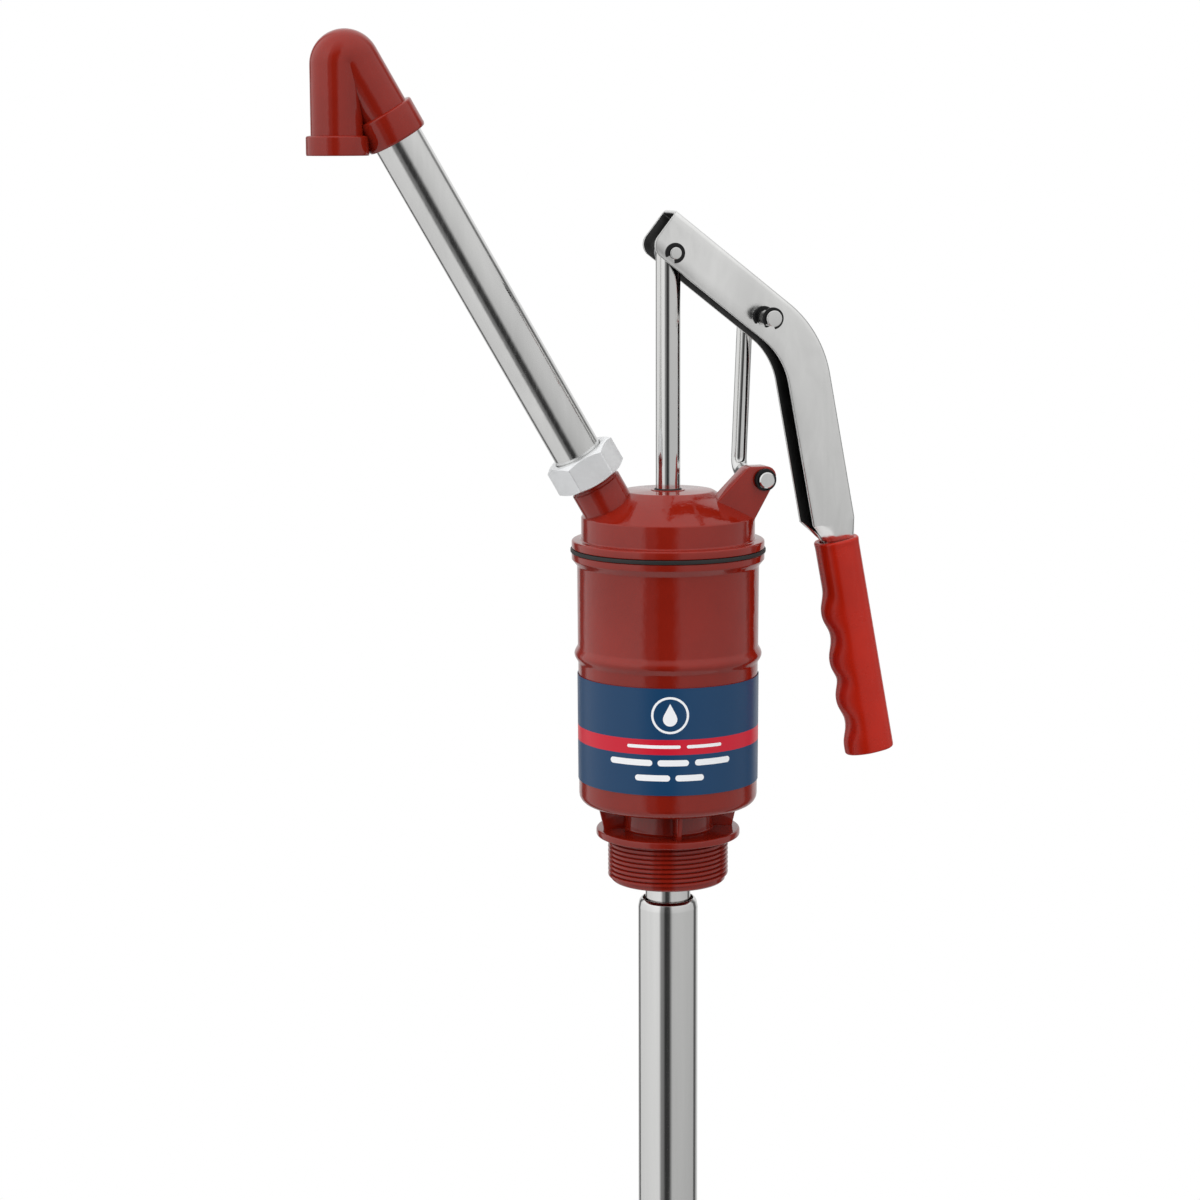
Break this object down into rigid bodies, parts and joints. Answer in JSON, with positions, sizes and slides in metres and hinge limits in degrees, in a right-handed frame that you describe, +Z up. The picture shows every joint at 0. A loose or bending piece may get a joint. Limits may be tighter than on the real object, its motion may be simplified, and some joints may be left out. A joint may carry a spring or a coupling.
{
  "type": "lever-action drum pump",
  "caption": "Lever-action piston pump that screws into a drum bung, with a sloping spout, a hooked hand lever and a telescopic suction tube.",
  "frame": {"origin": "centre of the bung seat, the underside of the collar above the bung thread, on the pump's axis", "axes": "+Z up along the pump's axis; the spout leans to -X and the lever hangs to +X; the rod pivot's pin lies along Y"},
  "size_m": [0.2937, 0.0954, 0.9012],
  "materials": {
    "red_enamel": "gloss enamel on a casting",
    "chrome": "bright chrome plate",
    "zinc_plate": "satin zinc plate",
    "black_oxide": "black oxide on spring steel",
    "black_rubber": "matt nitrile rubber",
    "grip_vinyl": "soft semi-gloss vinyl",
    "label_print": "printed film with a satin face",
    "brass": "machined",
    "steel": "bright steel",
    "nylon": "natural moulded nylon"
  },
  "bodies": {
    "housing": {"pump_body": "red_enamel", "bung_neck": "red_enamel", "label": "label_print", "head_gasket": "black_rubber", "cylinder_head": "red_enamel", "gland_bush": "brass", "rod_seal": "black_rubber", "rod_wiper": "black_rubber", "foot_valve_seat": "brass", "foot_valve_cage": "steel", "union_nut": "zinc_plate", "spout_seal": "black_rubber", "suction_tube_inner": "chrome", "inner_tube_seal": "nylon"},
    "plunger": {"piston_rod": "chrome", "piston_body": "brass", "piston_seal": "black_rubber", "piston_nut": "zinc_plate", "piston_valve_stop": "steel"},
    "piston_valve": {"piston_valve_disc": "black_rubber"},
    "foot_valve": {"foot_valve_disc": "black_rubber"},
    "lever": {"lever_channel": "chrome", "lever_grip": "grip_vinyl", "rod_pin": "steel", "rod_pin_clip_front": "black_oxide", "rod_pin_clip_back": "black_oxide", "rod_spacer_front": "steel", "rod_spacer_back": "steel", "link_upper_leg": "chrome", "link_clip_wall": "black_oxide", "link_clip_end": "black_oxide"},
    "link": {"link_rod": "chrome", "lug_clip": "black_oxide", "lug_washer": "black_oxide"},
    "spout": {"discharge_tube": "chrome", "spout_ferrule": "brass", "spout_elbow": "red_enamel"},
    "outer_tube": {"suction_tube_outer": "chrome", "outer_tube_bush": "nylon", "inlet_foot": "nylon"}
  },
  "joints": [
    {"name": "piston_stroke", "type": "slide", "parent": "housing", "child": "plunger", "axis": [0, 0, -1], "range_m": [0, 0.0705]},
    {"name": "lever_swing", "type": "hinge", "parent": "plunger", "child": "lever", "pos_m": [0, 0, 0.2865], "axis": [0, -1, 0], "range_deg": [0, 80.33]},
    {"name": "link_swing", "type": "hinge", "parent": "housing", "child": "link", "pos_m": [0.0419, 0, 0.1775], "axis": [0, -1, 0], "range_deg": [0, 4.93]},
    {"name": "piston_valve_lift", "type": "slide", "parent": "plunger", "child": "piston_valve", "axis": [0, 0, 1], "range_m": [0, 0.003]},
    {"name": "foot_valve_lift", "type": "slide", "parent": "housing", "child": "foot_valve", "axis": [0, 0, 1], "range_m": [0, 0.003]},
    {"name": "spout_swivel", "type": "hinge", "parent": "housing", "child": "spout", "pos_m": [-0.0344, 0, 0.1715], "axis": [-0.5, 0, 0.866], "continuous": true},
    {"name": "tube_extend", "type": "slide", "parent": "housing", "child": "outer_tube", "axis": [0, 0, -1], "range_m": [0, 0.36]}
  ],
  "couplings": [
    {"joint": "lever_swing", "follows": "piston_stroke", "rad_per_m": 19.882},
    {"joint": "link_swing", "follows": "piston_stroke", "rad_per_m": 1.2145}
  ]
}
